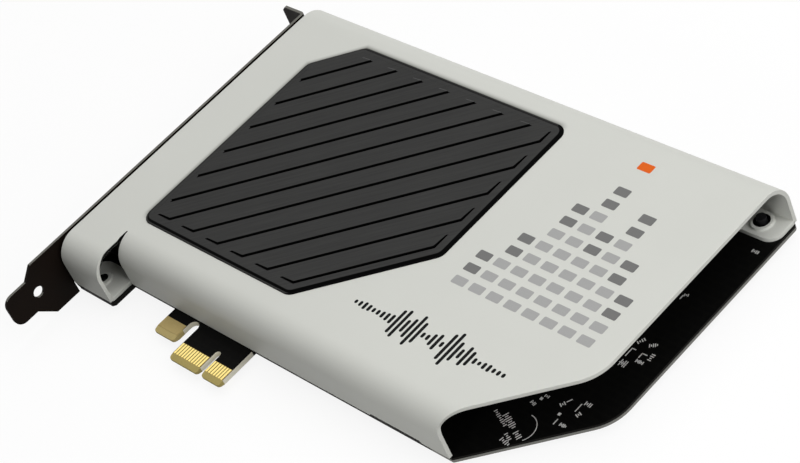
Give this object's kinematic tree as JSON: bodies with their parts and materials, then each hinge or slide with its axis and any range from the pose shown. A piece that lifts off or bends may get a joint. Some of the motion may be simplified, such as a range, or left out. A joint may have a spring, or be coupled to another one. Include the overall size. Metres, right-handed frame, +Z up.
{
  "type": "sound card",
  "caption": "Internal sound card for a computer slot: black board with edge connector under an off-white moulded cover with a raised louvred panel, on a folded slot bracket.",
  "frame": {"origin": "under the middle of the card's box, on the surface it lies on", "axes": "+X from the bracket to the card's far end, +Y from the slot edge to the back edge, +Z up out of the component side"},
  "size_m": [0.1788, 0.126, 0.0197],
  "materials": {
    "board": "black solder mask, grey cut edge",
    "gold": "bright gold plating",
    "cover": "off-white satin moulding",
    "panel": "dark grey brushed moulding",
    "bracket": "black gloss paint with bare cut edges",
    "screw": "black zinc",
    "socket": "black moulding",
    "chip": "black epoxy",
    "lead": "tinned",
    "can": "bare aluminium with a dark sector",
    "film": "red",
    "relay": "off-white",
    "ferrite": "dark grey ferrite",
    "ceramic": "tan ceramic",
    "solder": "bright solder"
  },
  "bodies": {
    "root": {"circuit_board": "board", "edge_contacts_front": "gold", "edge_contacts_rear": "gold", "retention_plating": "gold", "cover_shell": "cover", "cover_screws": "screw", "louvre_panel": "panel", "slot_bracket": "bracket", "audio_jack_1": "socket", "audio_jack_2": "socket", "audio_jack_3": "socket", "audio_jack_4": "socket", "audio_jack_5": "socket", "optical_socket": "socket", "audio_processor": "chip", "processor_leads": "lead", "bus_bridge": "chip", "converter_chip": "chip", "op_amps": "chip", "crystal_oscillators": "lead", "reservoir_capacitors": "can", "film_capacitors": "film", "output_relays": "relay", "power_inductors": "ferrite", "voltage_regulators": "chip", "regulator_tabs": "lead", "chip_resistors": "chip", "chip_capacitors": "ceramic", "solder_joints": "solder"}
  },
  "joints": []
}
